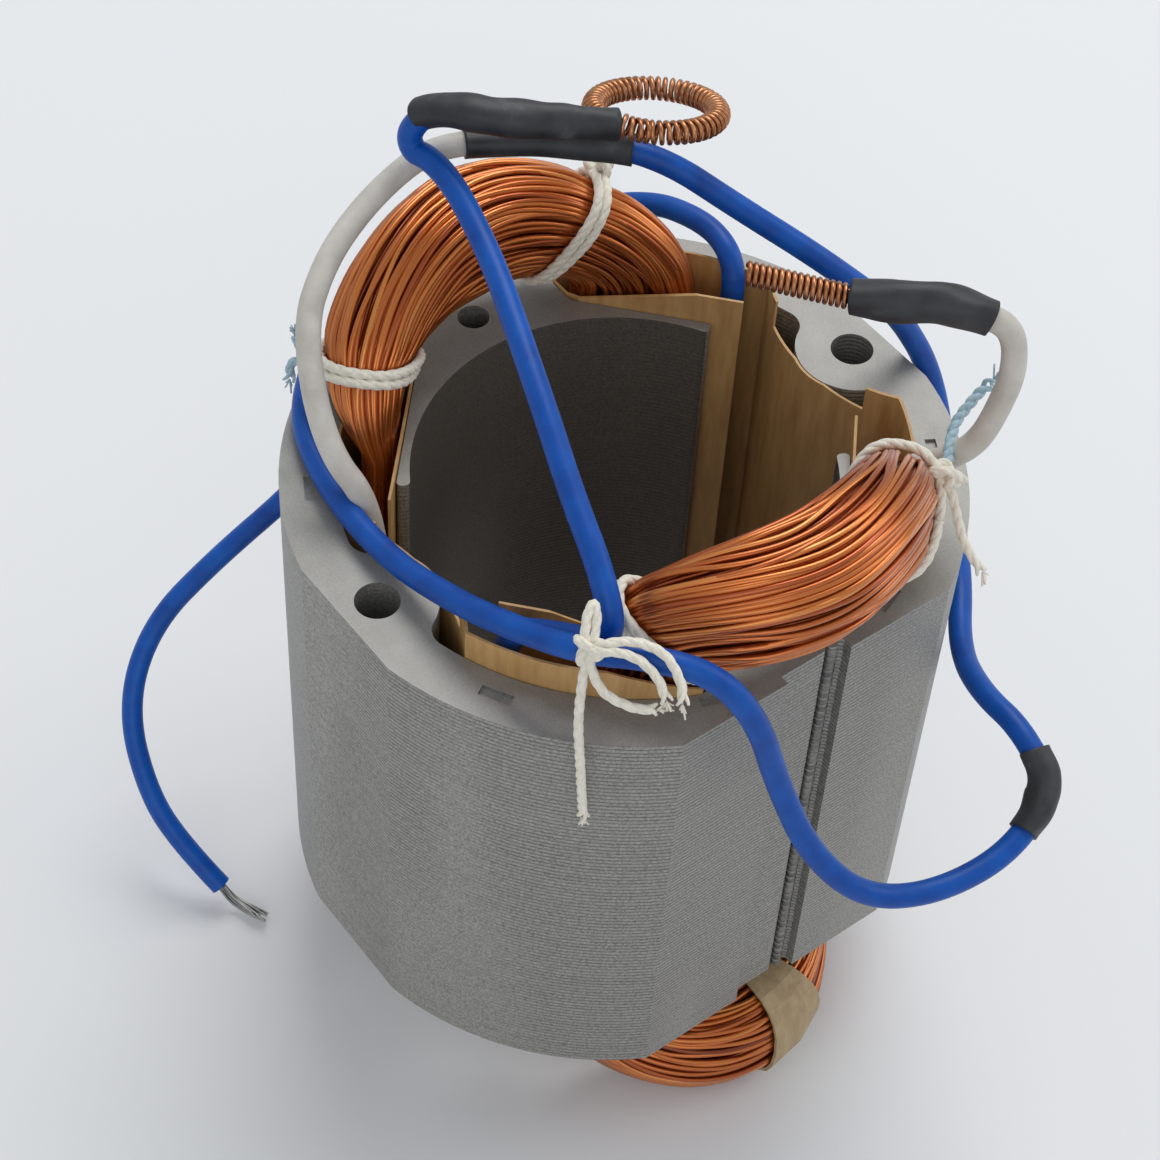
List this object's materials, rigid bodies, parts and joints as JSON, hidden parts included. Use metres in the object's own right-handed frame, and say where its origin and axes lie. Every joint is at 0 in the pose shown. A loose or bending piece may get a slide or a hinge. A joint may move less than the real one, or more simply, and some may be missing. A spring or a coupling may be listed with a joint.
{
  "type": "stator lamination stack",
  "caption": "Wound field stator of a universal motor: welded lamination stack with salient poles, slot liners, laced field coils, spliced leads and contact springs.",
  "frame": {"origin": "on the rotor axis, in the stack's lower end face", "axes": "+Z along the rotor axis towards the lead end, +X through the right pole, +Y through the rear screw hole"},
  "size_m": [0.0842, 0.0699, 0.0959],
  "materials": {
    "lamination_steel": "bare punched edges, fine lines",
    "slot_paper": "smooth varnished paper",
    "enamelled_copper": "glossy enamel over copper",
    "paper_tape": "crinkled paper tape",
    "lacing_cord": "waxed twisted cord",
    "blue_insulation": "satin rubber",
    "tinned_strands": "tinned copper strands",
    "white_sleeve": "satin silicone",
    "shrink_tubing": "dull shrunk tube",
    "solder": "dull solder",
    "copper_spring": "copper-plated wire"
  },
  "bodies": {
    "root": {"lamination_stack": "lamination_steel", "slot_liner_rear": "slot_paper", "slot_liner_front": "slot_paper", "field_coil_right": "enamelled_copper", "field_coil_left": "enamelled_copper", "tape_wrap_right": "paper_tape", "tape_wrap_left": "paper_tape", "lacing_tie_right_front": "lacing_cord", "lacing_tie_right_rear": "lacing_cord", "lacing_tie_left_front": "lacing_cord", "lacing_tie_left_rear": "lacing_cord", "blue_lead_riser": "blue_insulation", "blue_lead_loop": "blue_insulation", "blue_lead_return": "blue_insulation", "blue_lead_free": "blue_insulation", "bare_strand_end": "tinned_strands", "white_sleeve_front": "white_sleeve", "white_sleeve_rear": "white_sleeve", "shrink_tube_upper": "shrink_tubing", "shrink_tube_lower": "shrink_tubing", "shrink_tube_rear": "shrink_tubing", "shrink_tube_side": "shrink_tubing", "splice_upper": "solder", "splice_lower": "solder", "splice_rear": "solder", "splice_side": "solder", "contact_spring_ring": "copper_spring", "contact_spring_straight": "copper_spring"}
  },
  "joints": []
}
